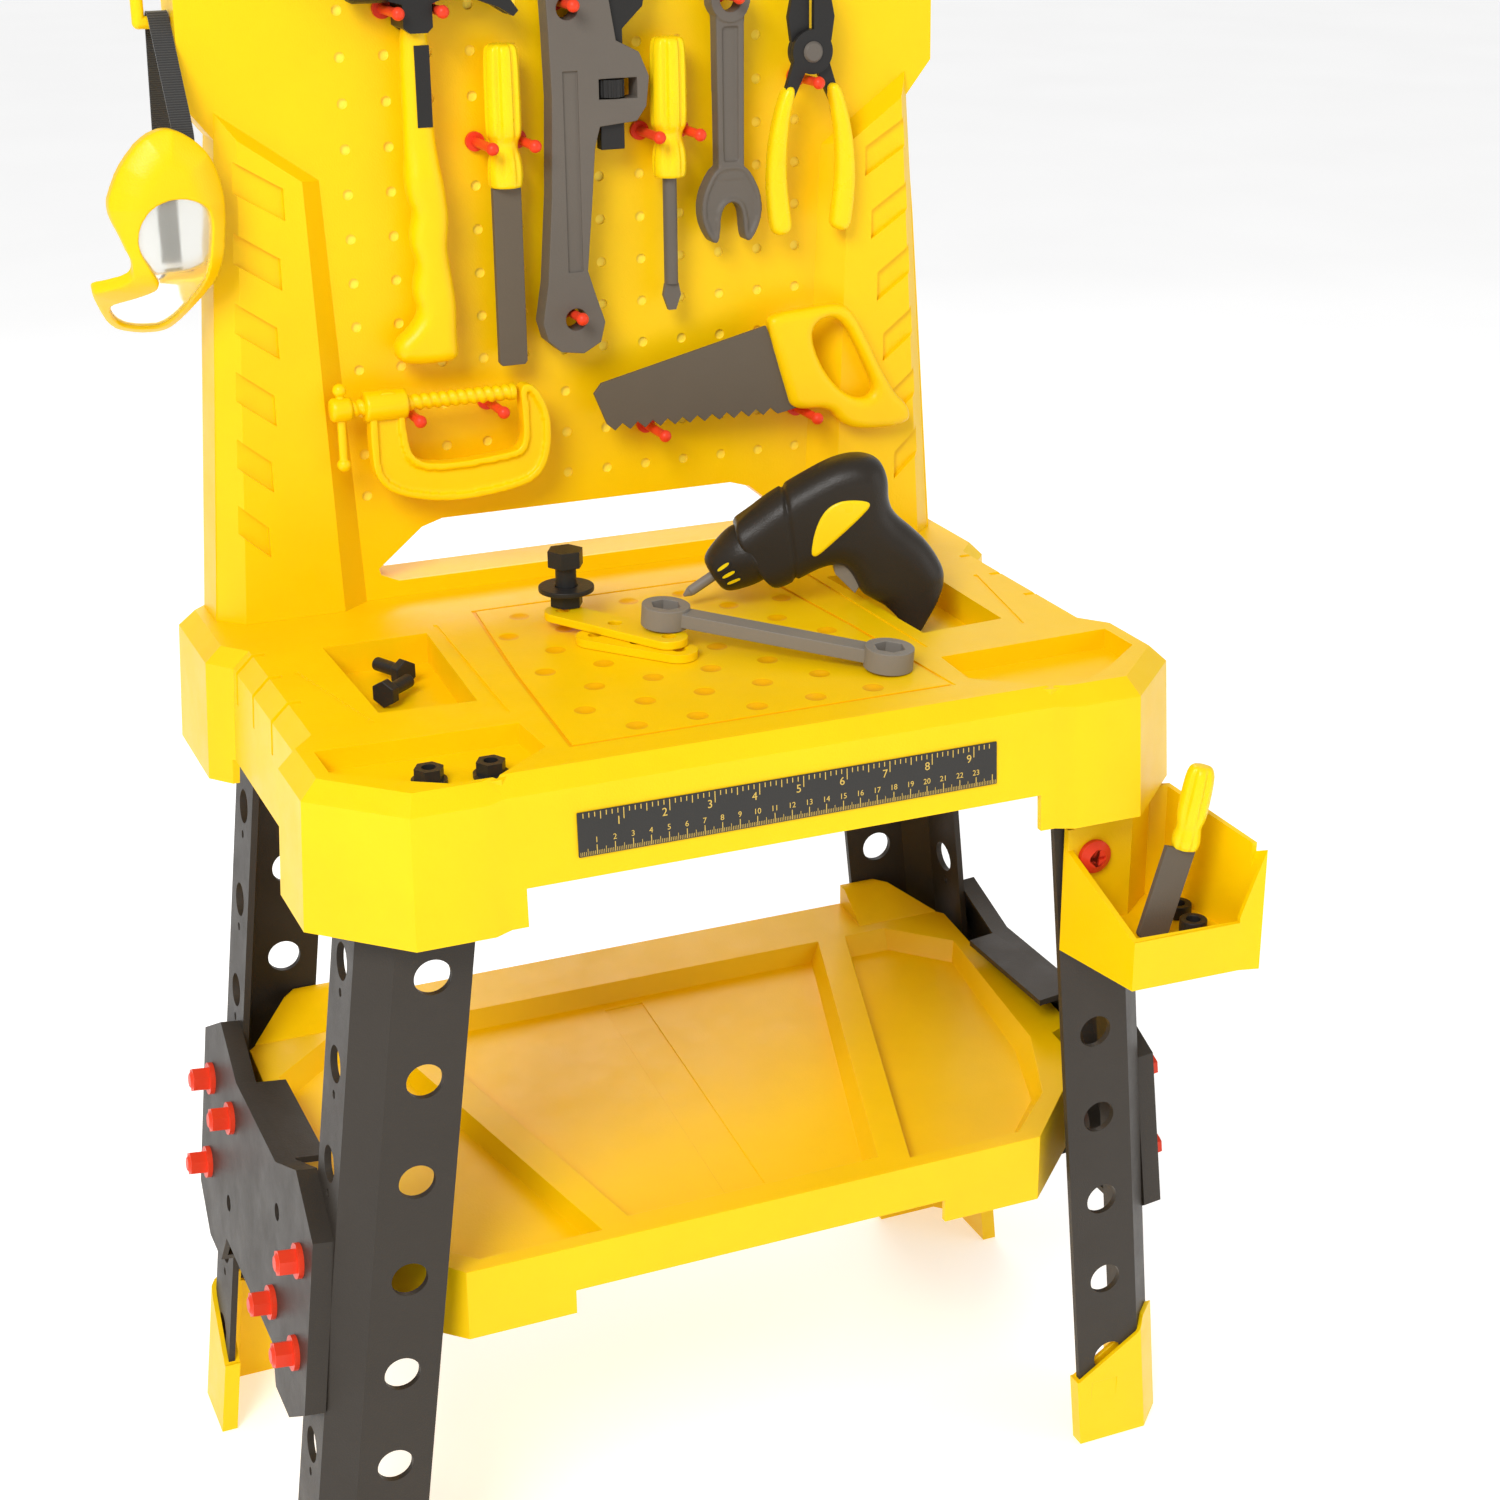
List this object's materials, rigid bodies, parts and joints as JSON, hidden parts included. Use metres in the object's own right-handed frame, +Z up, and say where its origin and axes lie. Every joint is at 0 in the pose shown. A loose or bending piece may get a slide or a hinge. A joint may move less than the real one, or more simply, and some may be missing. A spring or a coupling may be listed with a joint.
{
  "type": "toy tool bench",
  "caption": "Yellow toy workbench on leaning perforated legs, with a peg panel of hung tools, a toy drill, storage tray, corner bin and loose fasteners.",
  "frame": {"origin": "middle of the whole object's footprint, on the floor", "axes": "+Z up, +X to the right of a child standing at the bench, +Y from the child towards the peg panel"},
  "size_m": [0.5808, 0.436, 1.005],
  "materials": {
    "yellow_plastic": "moulded satin",
    "dark_plastic": "moulded satin",
    "red_plastic": "moulded semi-gloss",
    "grey_plastic": "moulded satin",
    "black_plastic": "moulded satin",
    "ruler_plastic": "printed strip",
    "clear_plastic": "clear moulded plastic",
    "elastic_strap": "flat woven elastic"
  },
  "bodies": {
    "bench": {"bench_top": "yellow_plastic", "back_panel": "yellow_plastic", "lower_shelf": "yellow_plastic", "corner_bin": "yellow_plastic", "bin_screw": "red_plastic", "side_hooks": "yellow_plastic", "ruler_strip": "ruler_plastic", "tool_pegs": "red_plastic", "bracket_bolts": "red_plastic", "side_bracket_left": "dark_plastic", "side_bracket_right": "dark_plastic", "leg_front_left": "dark_plastic", "leg_front_right": "dark_plastic", "leg_back_left": "dark_plastic", "leg_back_right": "dark_plastic", "foot_front_left": "yellow_plastic", "foot_front_right": "yellow_plastic", "foot_back_left": "yellow_plastic", "foot_back_right": "yellow_plastic"},
    "hammer": {"hammer_head": "black_plastic", "hammer_handle": "yellow_plastic"},
    "rasp": {"rasp_handle": "yellow_plastic", "rasp_blade": "grey_plastic"},
    "screwdriver": {"screwdriver_handle": "yellow_plastic", "screwdriver_shaft": "grey_plastic"},
    "adjustable_wrench": {"wrench_body": "grey_plastic"},
    "adjustable_jaw": {"wrench_jaw": "black_plastic"},
    "adjuster_wheel": {"wrench_knurl": "black_plastic"},
    "open_ring_wrench": {"combination_wrench": "grey_plastic"},
    "pliers": {"pliers_half_left": "grey_plastic", "pliers_grip_left": "yellow_plastic", "pliers_pin": "grey_plastic"},
    "pliers_moving": {"pliers_half_right": "grey_plastic", "pliers_grip_right": "yellow_plastic"},
    "saw": {"saw_blade": "grey_plastic", "saw_handle": "yellow_plastic"},
    "clamp": {"clamp_frame": "yellow_plastic"},
    "clamp_spindle": {"clamp_screw": "yellow_plastic"},
    "clamp_tommy_bar": {"clamp_bar": "yellow_plastic"},
    "goggles": {"goggle_frame": "yellow_plastic", "goggle_lens": "clear_plastic", "goggle_strap": "elastic_strap"},
    "drill": {"drill_shell_left": "dark_plastic", "drill_shell_right": "dark_plastic", "drill_inlays": "yellow_plastic"},
    "drill_nose": {"drill_chuck": "black_plastic", "drill_bit": "grey_plastic"},
    "drill_button": {"drill_trigger": "yellow_plastic"},
    "ring_wrench": {"box_wrench": "grey_plastic"},
    "upper_link": {"link_upper": "yellow_plastic"},
    "lower_link": {"link_lower": "yellow_plastic"},
    "bolt": {"bench_bolt": "black_plastic"},
    "nut": {"bench_nut": "black_plastic"},
    "washer": {"bench_washer": "black_plastic"},
    "loose_bolts": {"tray_bolts": "black_plastic"},
    "loose_nuts": {"tray_nuts": "black_plastic"},
    "bin_rings": {"bin_nuts": "black_plastic"},
    "file": {"bin_file_blade": "grey_plastic", "bin_file_handle": "yellow_plastic"}
  },
  "joints": [
    {"name": "hammer_off_pegs", "type": "slide", "parent": "bench", "child": "hammer", "axis": [0, -1, 0], "range_m": [0, 0.045]},
    {"name": "rasp_off_pegs", "type": "slide", "parent": "bench", "child": "rasp", "axis": [0, -1, 0], "range_m": [0, 0.045]},
    {"name": "screwdriver_off_pegs", "type": "slide", "parent": "bench", "child": "screwdriver", "axis": [0, -1, 0], "range_m": [0, 0.045]},
    {"name": "adjustable_wrench_off_pegs", "type": "slide", "parent": "bench", "child": "adjustable_wrench", "axis": [0, -1, 0], "range_m": [0, 0.045]},
    {"name": "open_ring_wrench_off_peg", "type": "slide", "parent": "bench", "child": "open_ring_wrench", "axis": [0, -1, 0], "range_m": [0, 0.045]},
    {"name": "pliers_off_peg", "type": "slide", "parent": "bench", "child": "pliers", "axis": [0, -1, 0], "range_m": [0, 0.045]},
    {"name": "saw_off_pegs", "type": "slide", "parent": "bench", "child": "saw", "axis": [0, -1, 0], "range_m": [0, 0.045]},
    {"name": "clamp_off_pegs", "type": "slide", "parent": "bench", "child": "clamp", "axis": [0, -1, 0], "range_m": [0, 0.045]},
    {"name": "jaw_slide", "type": "slide", "parent": "adjustable_wrench", "child": "adjustable_jaw", "axis": [0, 0, 1], "range_m": [-0.009, 0.008]},
    {"name": "adjuster_turn", "type": "hinge", "parent": "adjustable_wrench", "child": "adjuster_wheel", "pos_m": [0.01563, 0.12205, 0.839], "axis": [0, 0, 1], "range_deg": [-620, 500]},
    {"name": "pliers_open", "type": "hinge", "parent": "pliers", "child": "pliers_moving", "pos_m": [0.1412, 0.11605, 0.85361], "axis": [0, -1, 0], "range_deg": [0, 20]},
    {"name": "clamp_screw_travel", "type": "slide", "parent": "clamp", "child": "clamp_spindle", "axis": [1, 0, 0], "range_m": [-0.02, 0.001]},
    {"name": "clamp_bar_slide", "type": "slide", "parent": "clamp_spindle", "child": "clamp_tommy_bar", "axis": [0, 0, 1], "range_m": [0, 0.021]},
    {"name": "goggles_off_hook", "type": "slide", "parent": "bench", "child": "goggles", "axis": [0, 0, 1], "range_m": [0, 0.02]},
    {"name": "drill_lift", "type": "slide", "parent": "bench", "child": "drill", "axis": [0, 0, 1], "range_m": [0, 0.06]},
    {"name": "drill_nose_turn", "type": "hinge", "parent": "drill", "child": "drill_nose", "pos_m": [0.06309, 0.03512, 0.5753], "axis": [-0.7859, 0.2636, -0.5593], "continuous": true},
    {"name": "drill_trigger_press", "type": "slide", "parent": "drill", "child": "drill_button", "axis": [0.5083, -0.1705, 0.8442], "range_m": [0, 0.0035], "stiffness_N_per_m": 200, "springref_m": -0.002},
    {"name": "ring_wrench_lift", "type": "slide", "parent": "bench", "child": "ring_wrench", "axis": [0, 0, 1], "range_m": [0, 0.05]},
    {"name": "upper_link_slide", "type": "slide", "parent": "bench", "child": "upper_link", "axis": [-0.507, 0.8619, 0], "range_m": [0, 0.02]},
    {"name": "lower_link_slide", "type": "slide", "parent": "bench", "child": "lower_link", "axis": [-0.6313, 0.7756, 0], "range_m": [0, 0.02]},
    {"name": "bolt_lift", "type": "slide", "parent": "bench", "child": "bolt", "axis": [0, 0, 1], "range_m": [0, 0.03]},
    {"name": "nut_turn", "type": "hinge", "parent": "bolt", "child": "nut", "pos_m": [-0.04537, 0.05205, 0.557], "axis": [0, 0, 1], "continuous": true},
    {"name": "washer_slide", "type": "slide", "parent": "bolt", "child": "washer", "axis": [0, 0, 1], "range_m": [0, 0.011]},
    {"name": "loose_bolts_lift", "type": "slide", "parent": "bench", "child": "loose_bolts", "axis": [0, 0, 1], "range_m": [0, 0.04]},
    {"name": "loose_nuts_lift", "type": "slide", "parent": "bench", "child": "loose_nuts", "axis": [0, 0, 1], "range_m": [0, 0.04]},
    {"name": "bin_rings_lift", "type": "slide", "parent": "bench", "child": "bin_rings", "axis": [0, 0, 1], "range_m": [0, 0.03]},
    {"name": "file_lift", "type": "slide", "parent": "bench", "child": "file", "axis": [0, 0, 1], "range_m": [0, 0.08]}
  ],
  "couplings": [
    {"joint": "adjuster_turn", "follows": "jaw_slide", "rad_per_m": 1047.2}
  ]
}
